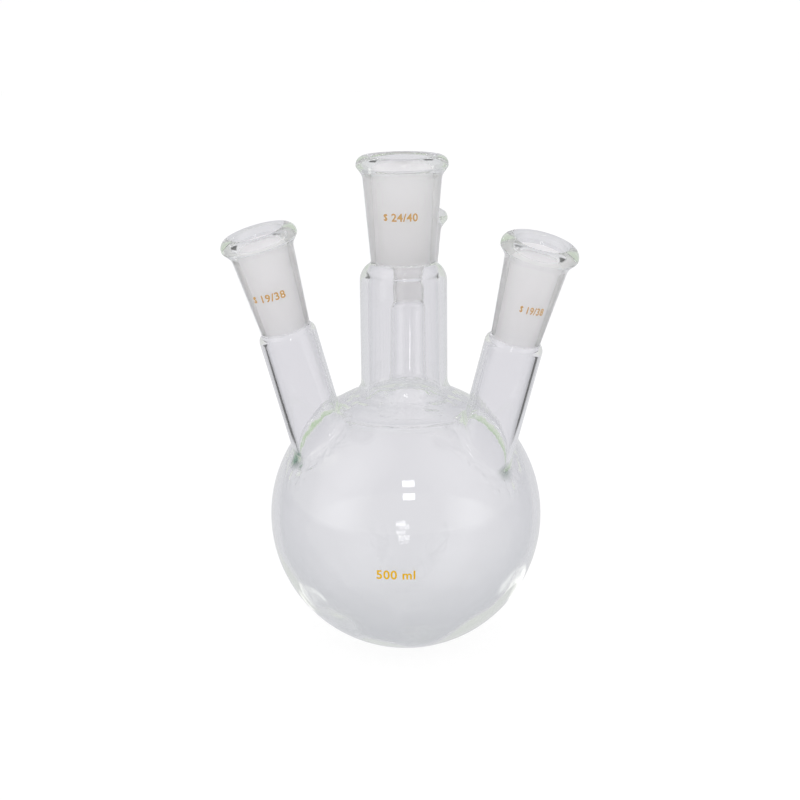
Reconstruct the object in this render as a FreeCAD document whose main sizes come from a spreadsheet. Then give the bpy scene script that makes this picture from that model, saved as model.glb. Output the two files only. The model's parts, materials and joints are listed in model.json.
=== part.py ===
import FreeCAD, Part
import math
import os
import Sketcher

# Four-neck round-bottom flask, blown and fused in one piece of borosilicate glass.
# All sizes are in millimetres. +Z is up along the centre neck, and the back neck leans towards +Y.
# Z = 0 is where a clamp grips the centre neck, because a round bottom can't stand by itself.

Vector = FreeCAD.Vector
CLOSE = 0.01
SHARES = (0, 0.25, 0.5, 0.75, 1)
SIDES = ("left", "right", "back")
doc = FreeCAD.newDocument("four_neck_flask")
sheet = doc.addObject("Spreadsheet::Sheet", "size")

# Driving sizes
driving = [
    ("bulb_od", 105),
    ("bulb_wall", 2.8),
    ("total_height", 191.5),
    ("clamp_height", 124.5),
    ("centre_tube_od", 33),
    ("centre_tube_wall", 3),
    ("centre_bead_od", 34.6),
    ("centre_mouth_od", 29.8),
    ("centre_foot_od", 24.2),
    ("centre_joint_large", 24),
    ("centre_joint_length", 40),
    ("centre_shoulder", 2.7),
    ("centre_shoulder_round", 7.5),
    ("centre_crease_round", 1.2),
    ("centre_weld", 6),
    ("side_tube_od", 21.6),
    ("side_tube_wall", 1.9),
    ("side_bead_od", 28.6),
    ("side_mouth_od", 23.3),
    ("side_foot_od", 18.3),
    ("side_joint_large", 18.8),
    ("side_joint_length", 38),
    ("side_shoulder", 1.8),
    ("side_shoulder_round", 3),
    ("side_crease_round", 1.5),
    ("side_weld", 3.5),
    ("side_cross_drop", 92),
    ("left_turn_angle", 210),
    ("left_tilt_angle", 15.6),
    ("left_reach", 214.5),
    ("right_turn_angle", 330),
    ("right_tilt_angle", 16.7),
    ("right_reach", 213),
    ("back_turn_angle", 92.5),
    ("back_tilt_angle", 16),
    ("back_reach", 211),
    ("joint_taper_ratio", 10),
    ("bead_height", 7.4),
    ("bead_edge", 4.1),
    ("bead_crown", 3.3),
    ("bead_hem", 1.5),
    ("bead_hollow", 4.5),
    ("lip_round", 1),
    ("ring_diameter", 60),
    ("ring_thickness", 3),
    ("ring_rise", 0.35),
    ("tool_run", 3),
]

# Sizes that follow from the driving ones
derived = [
    ("bulb_radius", "=bulb_od / 2"),
    ("bulb_hollow_radius", "=bulb_radius - bulb_wall"),
    ("bulb_z", "=bulb_radius - clamp_height"),
    ("crest_z", "=total_height - clamp_height"),
    ("side_cross_z", "=bulb_z - side_cross_drop"),
    ("ring_wire", "=ring_thickness / 2"),
    ("ring_ratio", "=(bulb_radius - ring_wire + ring_rise) / bulb_radius"),
    ("ring_radius", "=ring_diameter / 2 * ring_ratio"),
    ("ring_z", "=bulb_z + sqrt(bulb_radius ^ 2 - (ring_diameter / 2) ^ 2) * ring_ratio"),
]

# Radii that the side necks share, and the centre neck's own
for kind in ("centre", "side"):
    derived += [
        (kind + "_tube_r", "=%s_tube_od / 2" % kind),
        (kind + "_foot_r", "=%s_foot_od / 2" % kind),
        (kind + "_mouth_r", "=%s_mouth_od / 2" % kind),
        (kind + "_bead_r", "=%s_bead_od / 2" % kind),
        (kind + "_tube_bore_r", "=%s_tube_r - %s_tube_wall" % (kind, kind)),
        (kind + "_large_r", "=%s_joint_large / 2" % kind),
        (kind + "_small_r", "=%s_large_r - %s_joint_length / joint_taper_ratio / 2" % (kind, kind)),
        (kind + "_over_r", "=%s_large_r + tool_run / joint_taper_ratio / 2" % kind),
        (kind + "_bore_shoulder_round", "=%s_shoulder_round - %s_tube_wall" % (kind, kind)),
        (kind + "_bore_crease_round", "=%s_crease_round + %s_tube_wall / 2" % (kind, kind)),
        (kind + "_bore_weld", "=%s_weld + bulb_wall / 2" % kind),
    ]

# Heights along each neck, from its foot plane half way up inside the bulb to its crest
derived += [
    ("centre_root", "=bulb_z + bulb_radius / 2"),
    ("centre_rise", "=crest_z - centre_root"),
]
for side in SIDES:
    derived += [
        (side + "_root", "=side_cross_drop * cos(%s_tilt_angle * 1deg) + bulb_radius / 2" % side),
        (side + "_rise", "=%s_reach - %s_root" % (side, side)),
    ]
for neck in ("centre",) + SIDES:
    kind = "centre" if neck == "centre" else "side"
    derived += [
        (neck + "_foot", "=%s_rise - %s_joint_length" % (neck, kind)),
        (neck + "_low", "=%s_foot - %s_shoulder" % (neck, kind)),
        (neck + "_bead", "=%s_rise - bead_height" % neck),
        (neck + "_edge", "=%s_rise - bead_edge" % neck),
        (neck + "_over", "=%s_rise + tool_run" % neck),
    ]

for row, (name, content) in enumerate(driving + derived, start=1):
    sheet.set("A%d" % row, name)
    sheet.set("B%d" % row, str(content))
    sheet.setAlias("B%d" % row, name)
doc.recompute()


def value(name):
    return float(sheet.get(name)) if name else 0


# A place or size held to a named value of the sheet
def held(sketch, kind, *where):
    name = where[-1]
    index = sketch.addConstraint(Sketcher.Constraint(kind, *where[:-1], value(name)))
    sketch.setExpression("Constraints[%d]" % index, "size." + name)


def hold_corner(sketch, geometry, end, radius, height):
    if radius:
        held(sketch, "DistanceX", -1, 1, geometry, end, radius)
    else:
        sketch.addConstraint(Sketcher.Constraint("PointOnObject", geometry, end, -2))
    if height:
        held(sketch, "DistanceY", -1, 1, geometry, end, height)
    else:
        sketch.addConstraint(Sketcher.Constraint("PointOnObject", geometry, end, -1))


# A closed profile of lines whose corners are (radius, height, rounding).
# A radius of None is on the axis, a height of None is at the foot, a rounding of None is a sharp corner.
def draw_profile(sketch, corners):
    count = len(corners)
    places = [Vector(value(radius), value(height), 0) for radius, height, rounding in corners]
    arrive = list(places)
    leave = list(places)
    crown = list(places)
    for i, (radius, height, rounding) in enumerate(corners):
        if rounding:
            back = (places[i - 1] - places[i]).normalize()
            ahead = (places[(i + 1) % count] - places[i]).normalize()
            inward = (back + ahead).normalize()
            half = back.getAngle(ahead) / 2
            arrive[i] = places[i] + back * (value(rounding) / math.tan(half))
            leave[i] = places[i] + ahead * (value(rounding) / math.tan(half))
            crown[i] = places[i] + inward * (value(rounding) / math.sin(half) - value(rounding))
    lines = []
    for i in range(count):
        lines.append(sketch.addGeometry(Part.LineSegment(leave[i], arrive[(i + 1) % count])))
    for i, (radius, height, rounding) in enumerate(corners):
        before = lines[i - 1]
        after = lines[i]
        if not rounding:
            sketch.addConstraint(Sketcher.Constraint("Coincident", before, 2, after, 1))
            hold_corner(sketch, after, 1, radius, height)
            continue
        arc = sketch.addGeometry(Part.Arc(arrive[i], crown[i], leave[i]))
        first = 1 if sketch.getPoint(arc, 1).distanceToPoint(arrive[i]) < CLOSE else 2
        point = sketch.addGeometry(Part.Point(places[i]), True)
        hold_corner(sketch, point, 1, radius, height)
        sketch.addConstraint(Sketcher.Constraint("PointOnObject", point, 1, before))
        sketch.addConstraint(Sketcher.Constraint("PointOnObject", point, 1, after))
        sketch.addConstraint(Sketcher.Constraint("Tangent", before, 2, arc, first))
        sketch.addConstraint(Sketcher.Constraint("Tangent", arc, 3 - first, after, 1))
        held(sketch, "Radius", arc, rounding)


# A turned solid about its own Z, with the profile drawn on the body's XZ plane
def turned(name, corners):
    body = doc.addObject("PartDesign::Body", name)
    sketch = body.newObject("Sketcher::SketchObject", name + "_profile")
    plane = next(item for item in body.Origin.OriginFeatures if item.Role == "XZ_Plane")
    sketch.AttachmentSupport = [(plane, "")]
    sketch.MapMode = "FlatFace"
    draw_profile(sketch, corners)
    turn = body.newObject("PartDesign::Revolution", name + "_turn")
    turn.Profile = sketch
    turn.ReferenceAxis = (sketch, ["V_Axis"])
    turn.Angle = 360
    body.Tip = turn
    doc.recompute()
    return body


# Outside and bore of a neck with a ground socket: tube, shoulder, 1:10 socket and a rolled bead
def neck_outside(neck, kind):
    return turned(neck + "_outside", [
        (None, None, None),
        (kind + "_tube_r", None, None),
        (kind + "_tube_r", neck + "_low", kind + "_shoulder_round"),
        (kind + "_foot_r", neck + "_foot", kind + "_crease_round"),
        (kind + "_mouth_r", neck + "_bead", "bead_hollow"),
        (kind + "_bead_r", neck + "_edge", "bead_hem"),
        (kind + "_bead_r", neck + "_rise", "bead_crown"),
        (None, neck + "_rise", None),
    ])


def neck_bore(neck, kind):
    return turned(neck + "_bore", [
        (None, None, None),
        (kind + "_tube_bore_r", None, None),
        (kind + "_tube_bore_r", neck + "_low", kind + "_bore_shoulder_round"),
        (kind + "_small_r", neck + "_foot", kind + "_bore_crease_round"),
        (kind + "_over_r", neck + "_over", None),
        (None, neck + "_over", None),
    ])


# A side neck's axis crosses the flask's own below the bulb's middle, and leans from it
def lean(body, side):
    body.setExpression("Placement.Base.x", "size.%s_root * sin(size.%s_tilt_angle * 1deg)"
                       " * cos(size.%s_turn_angle * 1deg)" % (side, side, side))
    body.setExpression("Placement.Base.y", "size.%s_root * sin(size.%s_tilt_angle * 1deg)"
                       " * sin(size.%s_turn_angle * 1deg)" % (side, side, side))
    body.setExpression("Placement.Base.z", "size.side_cross_z"
                       " + size.%s_root * cos(size.%s_tilt_angle * 1deg)" % (side, side))
    body.setExpression("Placement.Rotation", "create(<<rotation>>; create(<<vector>>;"
                       " -sin(size.%s_turn_angle * 1deg); cos(size.%s_turn_angle * 1deg); 0);"
                       " size.%s_tilt_angle * 1deg)" % (side, side, side))


def sphere(name, radius):
    ball = doc.addObject("Part::Sphere", name)
    ball.setExpression("Radius", "size." + radius)
    ball.setExpression("Placement.Base.z", "size.bulb_z")
    return ball


def fused(name, shapes):
    joined = doc.addObject("Part::MultiFuse", name)
    joined.Shapes = shapes
    joined.Refine = True
    return joined


# A body that rounds chosen edges of a fused solid, with each radius held to the sheet
def rounded(name, base, steps):
    body = doc.addObject("PartDesign::Body", name)
    body.BaseFeature = base
    doc.recompute()
    current = body.Group[0]
    for pick, radius in steps:
        edges = ["Edge%d" % i for i, edge in enumerate(current.Shape.Edges, start=1) if pick(edge)]
        if not edges:
            raise RuntimeError("no edge to round on " + name)
        fillet = body.newObject("PartDesign::Fillet", name + "_" + radius)
        fillet.Base = (current, edges)
        fillet.setExpression("Radius", "size." + radius)
        doc.recompute()
        current = fillet
    body.Tip = current
    return body


def spots_on(edge):
    first, last = edge.ParameterRange
    return [edge.valueAt(first + (last - first) * share) for share in SHARES]


# A root is where a neck meets the bulb. The centre neck's is a level circle; the side necks' aren't.
def root(bulb, neck, centre_neck):
    middle = Vector(0, 0, value("bulb_z"))

    def pick(edge):
        spots = spots_on(edge)
        on_bulb = all(abs(spot.distanceToPoint(middle) - value(bulb)) < CLOSE for spot in spots)
        above = all(spot.z > middle.z for spot in spots)
        level = all(abs(math.hypot(spot.x, spot.y) - value(neck)) < CLOSE for spot in spots)
        return on_bulb and above and level == centre_neck
    return pick


# A mouth is the round edge where a ground bore comes out at a neck's crest
def mouth(neck, radius):
    place = doc.getObject(neck + "_outside").Placement
    crest = place.multVec(Vector(0, 0, value(neck + "_rise")))

    def pick(edge):
        return all(abs(spot.distanceToPoint(crest) - value(radius)) < CLOSE for spot in spots_on(edge))
    return pick


outside = fused("outside", [
    sphere("bulb_outside", "bulb_radius"),
    neck_outside("centre", "centre"),
    neck_outside("left", "side"),
    neck_outside("right", "side"),
    neck_outside("back", "side"),
])
hollow = fused("hollow", [
    sphere("bulb_hollow", "bulb_hollow_radius"),
    neck_bore("centre", "centre"),
    neck_bore("left", "side"),
    neck_bore("right", "side"),
    neck_bore("back", "side"),
])
for surface in ("_outside", "_bore"):
    doc.getObject("centre" + surface).setExpression("Placement.Base.z", "size.centre_root")
    for side in SIDES:
        lean(doc.getObject(side + surface), side)
doc.recompute()

# Welds: the necks flow into the bulb outside and inside
welded_outside = rounded("welded_outside", outside, [
    (root("bulb_radius", "centre_tube_r", False), "side_weld"),
    (root("bulb_radius", "centre_tube_r", True), "centre_weld"),
])
welded_hollow = rounded("welded_hollow", hollow, [
    (root("bulb_hollow_radius", "centre_tube_bore_r", False), "side_bore_weld"),
    (root("bulb_hollow_radius", "centre_tube_bore_r", True), "centre_bore_weld"),
])

# The seam that the centre piece leaves on top of the bulb stands a little proud of it
seam = doc.addObject("Part::Torus", "seam")
seam.setExpression("Radius1", "size.ring_radius")
seam.setExpression("Radius2", "size.ring_wire")
seam.setExpression("Placement.Base.z", "size.ring_z")
doc.recompute()

glass = doc.addObject("Part::Cut", "glass")
glass.Base = fused("welded_and_seamed", [welded_outside, seam])
glass.Tool = welded_hollow
glass.Refine = True
doc.recompute()

# Each mouth is fire-polished round
flask = rounded("flask", glass, [
    (mouth("centre", "centre_large_r"), "lip_round"),
    (mouth("left", "side_large_r"), "lip_round"),
    (mouth("right", "side_large_r"), "lip_round"),
    (mouth("back", "side_large_r"), "lip_round"),
])
flask.Label = "flask"
doc.recompute()

for item in doc.Objects:
    if "Invalid" in item.State or "Error" in item.State:
        raise RuntimeError(item.Name + " did not recompute: " + str(item.State))
    if hasattr(item, "Shape") and item.isDerivedFrom("Part::Feature") and item.TypeId != "Sketcher::SketchObject":
        if item.Shape.isNull() or not item.Shape.isValid():
            raise RuntimeError(item.Name + " has no valid shape")

os.makedirs("parts", exist_ok=True)
shape = flask.Tip.Shape.copy()
shape.Placement = flask.Placement.multiply(shape.Placement)
if len(shape.Solids) != 1 or len(shape.Shells) != 1:
    raise RuntimeError("the flask is not one closed piece")
shape.exportStep("parts/" + flask.Label + ".step")
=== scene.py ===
import json
import math
import bpy
from mathutils import Matrix, Vector, noise


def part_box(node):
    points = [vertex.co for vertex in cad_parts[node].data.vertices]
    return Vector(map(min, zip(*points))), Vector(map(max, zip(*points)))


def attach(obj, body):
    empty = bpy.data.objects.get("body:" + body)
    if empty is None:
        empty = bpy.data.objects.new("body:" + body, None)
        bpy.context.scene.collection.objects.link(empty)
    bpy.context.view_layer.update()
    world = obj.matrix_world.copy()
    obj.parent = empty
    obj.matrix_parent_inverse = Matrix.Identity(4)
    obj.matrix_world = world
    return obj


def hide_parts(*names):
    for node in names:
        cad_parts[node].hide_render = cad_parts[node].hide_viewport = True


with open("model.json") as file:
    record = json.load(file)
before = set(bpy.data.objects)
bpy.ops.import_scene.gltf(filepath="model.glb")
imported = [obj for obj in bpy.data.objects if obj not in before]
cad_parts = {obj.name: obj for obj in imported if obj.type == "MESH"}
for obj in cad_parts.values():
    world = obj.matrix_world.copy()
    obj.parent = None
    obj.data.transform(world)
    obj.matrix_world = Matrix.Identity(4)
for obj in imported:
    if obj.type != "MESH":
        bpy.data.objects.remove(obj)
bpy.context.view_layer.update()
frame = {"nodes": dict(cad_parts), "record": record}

# Four-neck flask of clear glass, with sockets ground matt inside and amber print.
# Sizes are in metres. +Z is up along the centre neck and the back neck leans towards +Y.

scene = bpy.context.scene
scene.view_settings.view_transform = "Standard"

MOUNTS = {mount["name"]: mount for mount in frame["record"]["mounts"]}
NECKS = ("centre", "left", "right", "back")
CREST = {neck: Vector(MOUNTS[neck + "_joint"]["pos_m"]) for neck in NECKS}
AXIS = {neck: Vector(MOUNTS[neck + "_joint"]["axis"]).normalized() for neck in NECKS}
JOINT_LENGTH = {"centre": 0.040, "left": 0.038, "right": 0.038, "back": 0.038}
BORE_RADIUS = {"centre": 0.0123, "left": 0.0097, "right": 0.0097, "back": 0.0097}
LEANING_TUBE_RADIUS = 0.0108
BULB_RADIUS = 0.0525
BULB_WALL = 0.0028
BULB_CENTRE = Vector((0, 0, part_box("flask")[0].z + BULB_RADIUS))
FLOOR_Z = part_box("flask")[0].z - 0.0004

# The side that the prints face, in degrees from the front towards the right
FACING = 6.554


# Modelling helpers

def deselect_all():
    if bpy.context.mode != "OBJECT":
        bpy.ops.object.mode_set(mode="OBJECT")
    bpy.ops.object.select_all(action="DESELECT")


def make_active(piece):
    deselect_all()
    piece.select_set(True)
    bpy.context.view_layer.objects.active = piece


def select_faces(piece, wanted):
    make_active(piece)
    bpy.ops.object.mode_set(mode="EDIT")
    bpy.ops.mesh.select_mode(type="FACE")
    bpy.ops.mesh.select_all(action="DESELECT")
    bpy.ops.object.mode_set(mode="OBJECT")
    for face in piece.data.polygons:
        face.select = wanted(face)
    bpy.ops.object.mode_set(mode="EDIT")


def down_and_out(point, neck):
    """How far a point lies below a neck's crest, and how far from its axis."""
    span = CREST[neck] - point
    down = span.dot(AXIS[neck])
    return down, (span - AXIS[neck] * down).length


def square_to_neck(direction, neck):
    """The direction as it points straight away from a neck's axis."""
    return (direction - AXIS[neck] * direction.dot(AXIS[neck])).normalized()


def compass(azimuth, elevation):
    """A direction: azimuth 0 is the front, -Y, and 90 is +X."""
    turn, rise = math.radians(azimuth), math.radians(elevation)
    return Vector((math.cos(rise) * math.sin(turn), -math.cos(rise) * math.cos(turn), math.sin(rise)))


# Material helpers

def new_material(name):
    material = bpy.data.materials.new(name)
    material.use_nodes = True
    material.node_tree.nodes.clear()
    return material, material.node_tree


def feed(tree, socket, value):
    """Links a socket to another node's output, or sets it to a plain number or colour."""
    if isinstance(value, bpy.types.NodeSocket):
        tree.links.new(value, socket)
    elif socket.type == "RGBA":
        socket.default_value = (*value, 1)
    else:
        socket.default_value = value


def new_node(tree, kind, **values):
    """A node whose sockets are fed by name, with an underscore for each space."""
    node = tree.nodes.new(kind)
    for name, value in values.items():
        feed(tree, node.inputs[name.replace("_", " ")], value)
    return node


def calculated(tree, operation, *values, clamp=False):
    step = tree.nodes.new("ShaderNodeMath")
    step.operation = operation
    step.use_clamp = clamp
    for socket, value in zip(step.inputs, values):
        feed(tree, socket, value)
    return step.outputs["Value"]


def above(tree, value, limit):
    return calculated(tree, "GREATER_THAN", value, limit)


def to_range(tree, value, low, high, from_low=0.0, from_high=1.0):
    ranged = new_node(tree, "ShaderNodeMapRange", Value=value, From_Min=from_low, From_Max=from_high,
                      To_Min=low, To_Max=high)
    return ranged.outputs["Result"]


def tinted(tree, share, first, second, how="MIX"):
    """The first colour turned into the second, or multiplied by it, as far as the share says."""
    mix = tree.nodes.new("ShaderNodeMix")
    mix.data_type = "RGBA"
    mix.blend_type = how
    feed(tree, mix.inputs["Factor"], share)
    feed(tree, mix.inputs["A"], first)
    feed(tree, mix.inputs["B"], second)
    return mix.outputs["Result"]


def object_point(tree):
    return tree.nodes.new("ShaderNodeTexCoord").outputs["Object"]


def object_axes(tree):
    return new_node(tree, "ShaderNodeSeparateXYZ", Vector=object_point(tree)).outputs


def noise_on_object(tree, scale, detail, stretch=(1, 1, 1)):
    mapping = new_node(tree, "ShaderNodeMapping", Vector=object_point(tree), Scale=stretch)
    texture = new_node(tree, "ShaderNodeTexNoise", Vector=mapping.outputs["Vector"], Scale=scale,
                       Detail=detail)
    return texture.outputs["Fac"]


def stored(tree, name):
    """A value that the mesh holds at its points or corners."""
    attribute = tree.nodes.new("ShaderNodeAttribute")
    attribute.attribute_name = name
    return attribute.outputs["Fac"]


# Glass. The ground surface runs between two shares of the joint's length below the crest:
# its top is sharp, and its foot is frayed by the grinding.

GLASS_IOR = 1.473
GROUND_TOP = 0.11
GROUND_TOP_BLUR = 0.004
GROUND_FOOT = 1.0
GROUND_FOOT_BLUR = 0.015
GROUND_FRAY = 0.012
GROUND_GRAINS = 1800
GRAIN_SPAN = (0.3, 0.7)
GROUND_ROUGHNESS = 0.5
GROUND_CLARITY = 0.5
# Painted light: the ground surface glows a little, in place of light it would scatter
GROUND_PAINTED_GLOW = 0.06
GROUND_TINT = (1, 0.985, 0.995)
CLEAR_TINT = (0.975, 0.97, 0.98)
# Painted shade: the glass is made darker towards the bottom of the bulb
LOW_PAINTED_SHADE = (0.955, 0.96, 0.965)
LOW_PAINTED_SHADE_END = BULB_CENTRE.z + 0.01
# Painted shade: the glass is made darker where its face slants away, towards its outline
EDGE_PAINTED_SHADE = (0.82, 0.83, 0.84)
EDGE_SLANTS = (0.25, 0.72)
# The thick glass at the outer foot of the left and right necks: green as thick glass is, and painted darker
# as shade
WEDGE_GREEN_AND_SHADE = (0.06, 0.15, 0.09)
WEDGE_SHARES = (0.1, 0.7)
WAVES = 45
WAVE_STRETCH = (1, 1, 0.5)
WAVE_STRENGTH = 0.25
WAVE_HEIGHT = 0.0006
MASS_TINT = (0.86, 0.93, 0.82)
MASS_DENSITY = 24

# Painted light: where light has been thrown about too often to be followed, the glass glows in its place,
# pale green, as light that thick glass has caught between its faces would come out in the end
CAUGHT_LIGHT = (0.80, 0.79, 0.80)
MOST_REFLECTIONS = 4.5
MOST_TURNS = 12.5


def ground_share(tree):
    """1 on the ground surface of a bore and 0 elsewhere."""
    depth = stored(tree, "ground_depth")
    speckle = noise_on_object(tree, GROUND_GRAINS, 3)
    stray = to_range(tree, speckle, -GROUND_FRAY, GROUND_FRAY, *GRAIN_SPAN)
    frayed = calculated(tree, "ADD", depth, stray)
    begun = to_range(tree, depth, 0, 1, GROUND_TOP - GROUND_TOP_BLUR, GROUND_TOP + GROUND_TOP_BLUR)
    ended = to_range(tree, frayed, 1, 0, GROUND_FOOT - GROUND_FOOT_BLUR, GROUND_FOOT + GROUND_FOOT_BLUR)
    return calculated(tree, "MULTIPLY", begun, ended)


def glass_tint_and_painted_shade(tree, ground):
    """Painted shade: the glass is a little darker low down and where a face slants away; in the wedges at
    the welds it is green and painted darker.
    """
    low = to_range(tree, object_axes(tree)["Z"], 1, 0, BULB_CENTRE.z - BULB_RADIUS, LOW_PAINTED_SHADE_END)
    colour = tinted(tree, low, CLEAR_TINT, LOW_PAINTED_SHADE)
    slant = tree.nodes.new("ShaderNodeLayerWeight").outputs["Facing"]
    colour = tinted(tree, to_range(tree, slant, 0, 1, *EDGE_SLANTS), colour, EDGE_PAINTED_SHADE, "MULTIPLY")
    colour = tinted(tree, ground, colour, GROUND_TINT)
    return tinted(tree, to_range(tree, stored(tree, "wedge"), 0, 1, *WEDGE_SHARES), colour, WEDGE_GREEN_AND_SHADE)


def caught_share(tree):
    """1 at a hit where light has been thrown about too often to be followed further; there the glass glows
    with painted light.
    """
    path = tree.nodes.new("ShaderNodeLightPath").outputs
    mirrored = above(tree, path["Glossy Depth"], MOST_REFLECTIONS)
    turned = above(tree, path["Ray Depth"], MOST_TURNS)
    scattered = above(tree, path["Diffuse Depth"], MOST_REFLECTIONS)
    caught = calculated(tree, "ADD", mirrored, turned, clamp=True)
    return calculated(tree, "ADD", scattered, caught, clamp=True)


def wavy_normal(tree):
    waves = noise_on_object(tree, WAVES, 1, WAVE_STRETCH)
    bump = new_node(tree, "ShaderNodeBump", Strength=WAVE_STRENGTH, Distance=WAVE_HEIGHT, Height=waves)
    return bump.outputs["Normal"]


def borosilicate():
    """Clear glass that turns matt where ground_depth runs down a bore."""
    material, tree = new_material("borosilicate")
    ground = ground_share(tree)
    # Painted light: the ground surface glows a little, and all the glass glows where light is caught
    glow = calculated(tree, "MULTIPLY_ADD", ground, GROUND_PAINTED_GLOW, caught_share(tree))
    glass = new_node(tree, "ShaderNodeBsdfPrincipled", IOR=GLASS_IOR, Normal=wavy_normal(tree),
                     Base_Color=glass_tint_and_painted_shade(tree, ground),
                     Transmission_Weight=to_range(tree, ground, 1, GROUND_CLARITY),
                     Roughness=to_range(tree, ground, 0, GROUND_ROUGHNESS),
                     Emission_Color=CAUGHT_LIGHT, Emission_Strength=glow)
    mass = new_node(tree, "ShaderNodeVolumeAbsorption", Color=MASS_TINT, Density=MASS_DENSITY)
    new_node(tree, "ShaderNodeOutputMaterial", Surface=glass.outputs["BSDF"], Volume=mass.outputs["Volume"])
    return material


# Enamel of the prints

ENAMEL_GRAINS = 2500
ENAMEL_SPAN = (0.3, 0.65)
ENAMEL_ROUGHNESS = 0.45
ENAMEL_SHINE = 0.15
THIN_ENAMEL = (0.9, 0.86, 0.8)


def enamel(name, colour):
    """Fired print with little shine, darker in specks where it lies thin."""
    material, tree = new_material(name)
    thin = [part * share for part, share in zip(colour, THIN_ENAMEL)]
    ramp = new_node(tree, "ShaderNodeValToRGB", Fac=noise_on_object(tree, ENAMEL_GRAINS, 3))
    for stop, position, shade in zip(ramp.color_ramp.elements, ENAMEL_SPAN, (thin, colour)):
        stop.position = position
        stop.color = (*shade, 1)
    ink = new_node(tree, "ShaderNodeBsdfPrincipled", Base_Color=ramp.outputs["Color"],
                   Roughness=ENAMEL_ROUGHNESS, Specular_IOR_Level=ENAMEL_SHINE)
    new_node(tree, "ShaderNodeOutputMaterial", Surface=ink.outputs["BSDF"])
    return material


# The flask's glass: the turned and fused solid with its triangles joined

MERGE_DISTANCE = 0.000002


def merged_copy(node, name):
    piece = node.copy()
    piece.data = piece.data.copy()
    piece.name = name
    for key in list(piece.keys()):
        del piece[key]
    piece.parent = None
    scene.collection.objects.link(piece)
    make_active(piece)
    bpy.ops.object.mode_set(mode="EDIT")
    bpy.ops.mesh.select_all(action="SELECT")
    bpy.ops.mesh.remove_doubles(threshold=MERGE_DISTANCE)
    bpy.ops.mesh.customdata_custom_splitnormals_clear()
    bpy.ops.object.mode_set(mode="OBJECT")
    return piece


# The welds, where the glass ran together by hand and set in small knobs

SEAM_RADIUS = {"centre": 0.0200, "left": 0.0130, "right": 0.0130, "back": 0.0130}
SEAM_NEAREST = 0.05
SEAM_FURTHEST = 0.105
SEAM_REACH = 0.0024
SEAM_OFF_WALL = 0.003
SMOOTH_MIDDLE = 0.006
CALM_BEHIND = 0.004
CALM_SHARE = 0.2
SEAM_EDGES = (0.0020, 0.0011, 0.0007)
KNOB_HEIGHT = 0.00042
KNOBS_PER_METRE = 330


def centre_knobs(point):
    """The centre weld is smooth in the middle of its front, knobbed beside that and calm behind."""
    beside = min(max(abs(point.x) - SMOOTH_MIDDLE, 0) / SMOOTH_MIDDLE, 1)
    return beside * (1 if point.y < CALM_BEHIND else CALM_SHARE)


def seam_share(point):
    """1 on a ring where a neck is welded to the bulb, falling to 0 beside it."""
    off_wall = abs((point - BULB_CENTRE).length - (BULB_RADIUS - BULB_WALL / 2))
    share = 0.0
    for neck in NECKS:
        down, out = down_and_out(point, neck)
        if SEAM_NEAREST < down < SEAM_FURTHEST:
            away = math.hypot(out - SEAM_RADIUS[neck], max(off_wall - SEAM_OFF_WALL, 0))
            here = 1 - away / SEAM_REACH
            if neck == "centre":
                here *= centre_knobs(point)
            share = max(share, here)
    return share


def longest_edge(piece, face):
    corners = [piece.data.vertices[index].co for index in face.vertices]
    return max((a - b).length for a, b in zip(corners, corners[1:] + corners[:1]))


def knob_the_welds(piece):
    for longest in SEAM_EDGES:
        select_faces(piece, lambda face: longest_edge(piece, face) > longest and seam_share(face.center) > 0)
        bpy.ops.mesh.subdivide(number_cuts=1, smoothness=1)
        bpy.ops.object.mode_set(mode="OBJECT")
    for vertex, normal in [(vertex, vertex.normal.copy()) for vertex in piece.data.vertices]:
        share = seam_share(vertex.co)
        if share > 0:
            vertex.co += normal * noise.noise(vertex.co * KNOBS_PER_METRE) * KNOB_HEIGHT * share


# The blown bulb's wall is a little uneven inside, towards its bottom

INNER_WALL = (0.049, 0.0505)
WALL_SWELL = 0.0009
SWELL_OFFSET = 0.35
SWELLS_PER_METRE = 62
SWELL_TOP = -0.012
SWELL_FADE = 0.015


def swell_the_wall(piece):
    for vertex in piece.data.vertices:
        radial = vertex.co - BULB_CENTRE
        low = min(max(SWELL_TOP - radial.z, 0) / SWELL_FADE, 1)
        if low > 0 and INNER_WALL[0] < radial.length < INNER_WALL[1]:
            swell = SWELL_OFFSET + noise.noise(vertex.co * SWELLS_PER_METRE)
            vertex.co -= radial.normalized() * swell * WALL_SWELL * low


# Marks on the mesh for the glass to read: how far down a ground bore, and how thick a weld

NOT_GROUND = -1.0
BORE_START = -0.001
BORE_END = 0.06
# How strongly that foot is painted green and dark: more on the left than on the right
WEDGE_STRENGTH = {"left": 1.0, "right": 0.6}
WEDGE_REACH = 0.0055
FOOT_STEP = 0.0002


def in_bore(neck, face):
    down, out = down_and_out(face.center, neck)
    inward = (face.center - CREST[neck] + AXIS[neck] * down).dot(face.normal) < 0
    return BORE_START < down < BORE_END and out < BORE_RADIUS[neck] and inward


def mark_ground(piece):
    """Stores ground_depth: how far down its joint a corner of a bore's face lies, as a share."""
    ground_depth = piece.data.attributes.new("ground_depth", "FLOAT", "CORNER")
    for face in piece.data.polygons:
        near = [neck for neck in NECKS if in_bore(neck, face)]
        for corner in face.loop_indices:
            depth = NOT_GROUND
            if near:
                point = piece.data.vertices[piece.data.loops[corner].vertex_index].co
                depth = down_and_out(point, near[0])[0] / JOINT_LENGTH[near[0]]
            ground_depth.data[corner].value = depth


def outer_foot(neck):
    """The point where the outermost line of a leaning neck meets the bulb."""
    outward = square_to_neck(Vector((CREST[neck].x, CREST[neck].y, 0)), neck)
    start = CREST[neck] + outward * LEANING_TUBE_RADIUS
    down = SEAM_NEAREST
    while (start - AXIS[neck] * down - BULB_CENTRE).length > BULB_RADIUS:
        down += FOOT_STEP
    return start - AXIS[neck] * down


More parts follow.
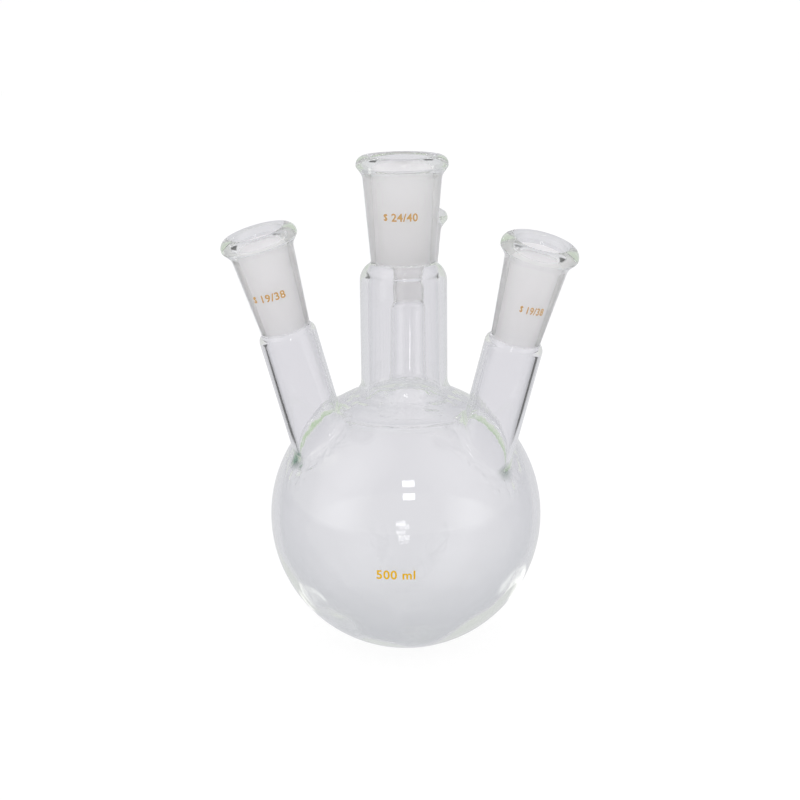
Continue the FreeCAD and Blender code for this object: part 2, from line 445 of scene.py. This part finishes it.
def mark_wedges(piece):
    """Stores wedge: near 1 where the glass is thick at the outer foot of a leaning neck."""
    feet = [(outer_foot(neck), strength) for neck, strength in WEDGE_STRENGTH.items()]
    wedge = piece.data.attributes.new("wedge", "FLOAT", "POINT")
    for vertex in piece.data.vertices:
        wedge.data[vertex.index].value = max(strength * (1 - (vertex.co - foot).length / WEDGE_REACH)
                                             for foot, strength in feet)


SMOOTH_UP_TO = 35

flask = merged_copy(frame["nodes"]["flask"], "flask_glass")
knob_the_welds(flask)
swell_the_wall(flask)
mark_ground(flask)
mark_wedges(flask)
flask.data.materials.clear()
flask.data.materials.append(borosilicate())
make_active(flask)
bpy.ops.object.shade_smooth_by_angle(angle=math.radians(SMOOTH_UP_TO))
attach(flask, "root")
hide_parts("flask")


# Printed marks. A print is drawn flat, cut into small squares and bent round the glass.

PRINT_LIFT = 0.00012
STRIP = 0.0006
LETTER_SPACING = 1.08
STROKE_FATTENING = 0.022
CURVE_STEPS = 4

# The standard-taper sign: its place, its letters' heights and the place of the words beside it,
# as shares of the words' height
SIGN_PLACE = -1.42
SIGN_S_HEIGHT = 0.86
SIGN_T_HEIGHT = 0.62
WORDS_PLACE = 0.36

SOCKET_TOP = 0.0074
SOCKET_RADII = {"centre": (0.0149, 0.0121), "left": (0.01165, 0.00915), "right": (0.01165, 0.00915)}
SOCKET_FRONT = compass(FACING, 12)
AMBER = enamel("amber_enamel", (0.78, 0.46, 0.004))
TAN = enamel("tan_enamel", (0.62, 0.38, 0.14))


def lettering(words, size, place=(0, 0)):
    """Words drawn flat about a place as a mesh, with strokes a little fattened."""
    deselect_all()
    bpy.ops.object.text_add(location=(0, 0, 0))
    mark = bpy.context.object
    mark.data.body = words
    mark.data.size = size
    mark.data.align_x = "CENTER"
    mark.data.align_y = "CENTER"
    mark.data.space_character = LETTER_SPACING
    mark.data.offset = size * STROKE_FATTENING
    mark.data.resolution_u = CURVE_STEPS
    bpy.ops.object.convert(target="MESH")
    mark = bpy.context.object
    mark.data.transform(Matrix.Translation((place[0], place[1], 0)))
    return mark


def joint_lettering(words, size):
    """A joint's size after the standard-taper sign, a T laid over an S."""
    sign = (size * SIGN_PLACE, 0)
    parts = [lettering(words, size, (size * WORDS_PLACE, 0)),
             lettering("S", size * SIGN_S_HEIGHT, sign),
             lettering("T", size * SIGN_T_HEIGHT, sign)]
    make_active(parts[0])
    for part in parts[1:]:
        part.select_set(True)
    bpy.ops.object.join()
    return bpy.context.object


def printed(mark, name, ink, narrowing=1.0):
    mark.name = name
    mark.data.transform(Matrix.Diagonal((narrowing, 1, 1, 1)))
    mark.data.materials.clear()
    mark.data.materials.append(ink)
    return mark


def slice_fine(mark, step):
    """Cuts the flat print into small squares, so that it can follow a round wall."""
    make_active(mark)
    for axis in (0, 1):
        half = max(abs(vertex.co[axis]) for vertex in mark.data.vertices)
        count = int(half / step)
        normal = (1 - axis, axis, 0)
        for i in range(-count, count + 1):
            bpy.ops.object.mode_set(mode="EDIT")
            bpy.ops.mesh.select_all(action="SELECT")
            bpy.ops.mesh.bisect(plane_co=[i * step * part for part in normal], plane_no=normal)
            bpy.ops.object.mode_set(mode="OBJECT")


def wrap_on_bulb(mark, azimuth, elevation):
    """Bends the flat print round the bulb, with its middle in the direction given."""
    slice_fine(mark, STRIP)
    reach = BULB_RADIUS + PRINT_LIFT
    for vertex in mark.data.vertices:
        turn = math.degrees(vertex.co.x / (reach * math.cos(math.radians(elevation))))
        rise = math.degrees(vertex.co.y / reach)
        vertex.co = BULB_CENTRE + compass(azimuth + turn, elevation + rise) * reach
    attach(mark, "root")


def wrap_on_socket(mark, neck, down, turn):
    """Bends the flat print round a socket's outside, its middle down below the crest."""
    slice_fine(mark, STRIP)
    front = square_to_neck(SOCKET_FRONT, neck)
    mouth, foot = SOCKET_RADII[neck]
    for vertex in mark.data.vertices:
        depth = down - vertex.co.y
        share = (depth - SOCKET_TOP) / (JOINT_LENGTH[neck] - SOCKET_TOP)
        reach = mouth + (foot - mouth) * share + PRINT_LIFT
        outward = Matrix.Rotation(math.radians(turn) + vertex.co.x / reach, 3, AXIS[neck]) @ front
        vertex.co = CREST[neck] - AXIS[neck] * depth + outward * reach
    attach(mark, "root")


volume = printed(lettering("500 ml", 0.0049), "volume_mark", AMBER)
wrap_on_bulb(volume, azimuth=2.3, elevation=-7.5)
centre_size = printed(joint_lettering("24/40", 0.0041), "centre_joint_mark", TAN)
wrap_on_socket(centre_size, "centre", down=0.0215, turn=-3)
left_size = printed(joint_lettering("19/38", 0.0040), "left_joint_mark", TAN)
wrap_on_socket(left_size, "left", down=0.0225, turn=-11)
right_size = printed(joint_lettering("19/38", 0.0039), "right_joint_mark", TAN, narrowing=0.72)
wrap_on_socket(right_size, "right", down=0.0228, turn=13.5)


# Stage: a pale floor and a backdrop. Glass sees them a little dimmer than white, with a breath of violet.

FLOOR_SIDE = 14
BACKDROP_WIDTH = 10
BACKDROP_HEIGHT = 6
BACKDROP_Y = 3
BACKDROP_MIDDLE = 1.5
PAINT = (0.8, 0.8, 0.8)
THROUGH_GLASS = (0.648, 0.643, 0.676)

# Painted dark reflection: a black band on the floor beside the flask, seen only in what the glass mirrors:
# where it starts, is full, ends being full and is over
PAINTED_DARK_REFLECTION = (0.0, 0.0, 0.0)
DARK_REFLECTION_ASIDE = (0.176, 0.19, 0.32, 0.36)
DARK_REFLECTION_BEHIND = (0.0, 0.03, 0.24, 0.27)
DARK_REFLECTION_SLANTS = (0.60, 0.64)

# Painted pools of light on the floor, where the flask would gather light beside it on the right and on the
# left: their middles and reaches
POOLS = (((0.059, 0.037, FLOOR_Z), 0.019), ((-0.054, 0.008, FLOOR_Z), 0.012))
POOL_LIGHT = (1.3, 1.3, 1.26)
POOL_FADE_FROM = 0.7
POOL_LUMPS = 60
POOL_LUMP_SPAN = (0.38, 0.5)
POOL_GAPS = 0.2


def dark_reflection_share(tree, path):
    """1 on a band of the floor beside the flask that is painted black for light the glass has mirrored, a
    painted dark reflection.
    """
    place = object_axes(tree)
    aside = calculated(tree, "ABSOLUTE", place["X"])
    slant = tree.nodes.new("ShaderNodeLayerWeight").outputs["Facing"]
    share = above(tree, path["Glossy Depth"], 0.5)
    for part in (to_range(tree, aside, 0, 1, *DARK_REFLECTION_ASIDE[:2]),
                 to_range(tree, aside, 1, 0, *DARK_REFLECTION_ASIDE[2:]),
                 to_range(tree, place["Y"], 0, 1, *DARK_REFLECTION_BEHIND[:2]),
                 to_range(tree, place["Y"], 1, 0, *DARK_REFLECTION_BEHIND[2:]),
                 to_range(tree, slant, 1, 0, *DARK_REFLECTION_SLANTS)):
        share = calculated(tree, "MULTIPLY", share, part)
    return share


def pool_share(tree, middle, reach):
    """1 on a ragged patch of the floor that is painted bright, as if the flask gathered light there."""
    apart = tree.nodes.new("ShaderNodeVectorMath")
    apart.operation = "DISTANCE"
    feed(tree, apart.inputs[0], object_point(tree))
    feed(tree, apart.inputs[1], middle)
    near = to_range(tree, apart.outputs["Value"], 1, 0, reach * POOL_FADE_FROM, reach)
    ragged = to_range(tree, noise_on_object(tree, POOL_LUMPS, 2), POOL_GAPS, 1, *POOL_LUMP_SPAN)
    return calculated(tree, "MULTIPLY", near, ragged)


def studio_white(name, own_light, shaded, with_painted_light=False):
    """A pale surface: white to the camera, a little dimmer to whatever sees it by way of the glass."""
    material, tree = new_material(name)
    path = tree.nodes.new("ShaderNodeLightPath").outputs
    by_glass = calculated(tree, "ADD", path["Is Glossy Ray"], path["Is Transmission Ray"], clamp=True)
    seen = calculated(tree, "ADD", path["Is Camera Ray"], by_glass, clamp=True)
    scattered = above(tree, path["Diffuse Depth"], 0.5)
    dimmed = calculated(tree, "SUBTRACT", by_glass, scattered, clamp=True)
    colour = tinted(tree, dimmed, (own_light,) * 3, THROUGH_GLASS)
    if with_painted_light:
        # Painted dark reflection: the floor turns black beside the flask for rays the glass has mirrored
        colour = tinted(tree, dark_reflection_share(tree, path), colour, PAINTED_DARK_REFLECTION)
        # Painted light: two bright pools on the floor beside the flask
        for middle, reach in POOLS:
            colour = tinted(tree, pool_share(tree, middle, reach), colour, POOL_LIGHT)
    paint = new_node(tree, "ShaderNodeBsdfDiffuse", Color=PAINT)
    shade = new_node(tree, "ShaderNodeBsdfDiffuse", Color=(shaded,) * 3)
    glow = new_node(tree, "ShaderNodeEmission", Color=colour, Strength=1)
    white = tree.nodes.new("ShaderNodeAddShader")
    feed(tree, white.inputs[0], shade.outputs["BSDF"])
    feed(tree, white.inputs[1], glow.outputs["Emission"])
    either = tree.nodes.new("ShaderNodeMixShader")
    feed(tree, either.inputs["Fac"], seen)
    feed(tree, either.inputs[1], paint.outputs["BSDF"])
    feed(tree, either.inputs[2], white.outputs["Shader"])
    new_node(tree, "ShaderNodeOutputMaterial", Surface=either.outputs["Shader"])
    return material


def stage_plane(name, place, material):
    deselect_all()
    bpy.ops.mesh.primitive_plane_add(size=1, location=(0, 0, 0))
    plane = bpy.context.object
    plane.name = name
    plane.data.transform(place)
    plane.data.materials.append(material)
    return plane


floor = stage_plane("studio_floor",
                    Matrix.Translation((0, 0, FLOOR_Z)) @ Matrix.Diagonal((FLOOR_SIDE, FLOOR_SIDE, 1, 1)),
                    studio_white("studio_floor_white", own_light=0.92, shaded=0.12, with_painted_light=True))
back = stage_plane("studio_backdrop",
                   Matrix.Translation((0, BACKDROP_Y, BACKDROP_MIDDLE))
                   @ Matrix.Rotation(math.radians(90), 4, "X")
                   @ Matrix.Diagonal((BACKDROP_WIDTH, BACKDROP_HEIGHT, 1, 1)),
                   studio_white("studio_backdrop_white", own_light=0.96, shaded=0.06))


# The room's own light: pale, and plain white to the camera

ROOM_LIGHT = (0.95, 0.95, 0.96)
WHITE = (1, 1, 1)


def light_the_room():
    world = bpy.data.worlds.new("studio_room")
    scene.world = world
    world.use_nodes = True
    tree = world.node_tree
    background = tree.nodes["Background"]
    to_camera = tree.nodes.new("ShaderNodeLightPath").outputs["Is Camera Ray"]
    feed(tree, background.inputs["Color"], tinted(tree, to_camera, ROOM_LIGHT, WHITE))
    feed(tree, background.inputs["Strength"], 1)


light_the_room()


# Lamps: a tall soft light on each side, in three levels, and two small windows high in front

SOFT_EDGE = 64
LEVELS = (-4, 24, 52)
SIDE_LAMP = (1.1, 1.1)
SIDE_DISTANCE = 1.1
LEFT_TURN = FACING - 64
LEFT_RADIANCE = 0.62
RIGHT_TURN = FACING + 58
RIGHT_RADIANCE = 0.40
WINDOW = (0.17, 0.09)
WINDOW_DISTANCE = 1.0
WINDOW_RADIANCE = 6
WINDOW_TURN = FACING + 3.2
UPPER_WINDOW_RISE = 41.6
LOWER_WINDOW_RISE = 31.0


def softbox(name, azimuth, elevation, distance, size, radiance, spread=180):
    """A lamp that is as bright as given straight ahead and fades to nothing half its spread aside."""
    width, height = size
    lamp = bpy.data.lights.new(name, "AREA")
    lamp.shape = "RECTANGLE"
    lamp.size = width
    lamp.size_y = height
    lamp.energy = radiance * math.pi * width * height
    if spread < 180:
        half = math.radians(spread / 2)
        lamp.energy *= 1 - half / math.tan(half)
    lamp.spread = math.radians(spread)
    thing = bpy.data.objects.new(name, lamp)
    scene.collection.objects.link(thing)
    toward = compass(azimuth, elevation)
    place = BULB_CENTRE + toward * distance
    thing.matrix_world = Matrix.Translation(place) @ toward.to_track_quat("Z", "Y").to_matrix().to_4x4()
    thing.visible_camera = False


for level, elevation in enumerate(LEVELS):
    softbox("left_softbox_%d" % level, LEFT_TURN, elevation, SIDE_DISTANCE, SIDE_LAMP, LEFT_RADIANCE,
            SOFT_EDGE)
    softbox("right_softbox_%d" % level, RIGHT_TURN, elevation, SIDE_DISTANCE, SIDE_LAMP, RIGHT_RADIANCE,
            SOFT_EDGE)
softbox("upper_window", WINDOW_TURN, UPPER_WINDOW_RISE, WINDOW_DISTANCE, WINDOW, WINDOW_RADIANCE)
softbox("lower_window", WINDOW_TURN, LOWER_WINDOW_RISE, WINDOW_DISTANCE, WINDOW, WINDOW_RADIANCE)


# Camera at the photograph's place: 800 by 800, the long axis of the flask a little tilted

LENS = 75.21
SENSOR = 36
CAMERA_HEIGHT_ANGLE = 18.318
CAMERA_DISTANCE = 0.6551
CAMERA_ROLL = -0.661
AIM_RIGHT = -0.00178
AIM_UP = 0.04537


def place_camera():
    lens = bpy.data.cameras.new("camera")
    lens.lens = LENS
    lens.sensor_width = SENSOR
    lens.clip_start = 0.01
    lens.clip_end = 100
    camera = bpy.data.objects.new("camera", lens)
    scene.collection.objects.link(camera)
    place = BULB_CENTRE + compass(FACING, CAMERA_HEIGHT_ANGLE) * CAMERA_DISTANCE
    turn = math.radians(FACING)
    right = Vector((math.cos(turn), math.sin(turn), 0))
    aim = BULB_CENTRE + right * AIM_RIGHT + Vector((0, 0, AIM_UP))
    ahead = (aim - place).normalized()
    across = ahead.cross(Vector((0, 0, 1))).normalized()
    up = across.cross(ahead)
    roll = math.radians(CAMERA_ROLL)
    rolled_across = across * math.cos(roll) + up * math.sin(roll)
    rolled_up = up * math.cos(roll) - across * math.sin(roll)
    turned = Matrix((rolled_across, rolled_up, -ahead)).transposed().to_4x4()
    camera.matrix_world = Matrix.Translation(place) @ turned
    scene.camera = camera


place_camera()
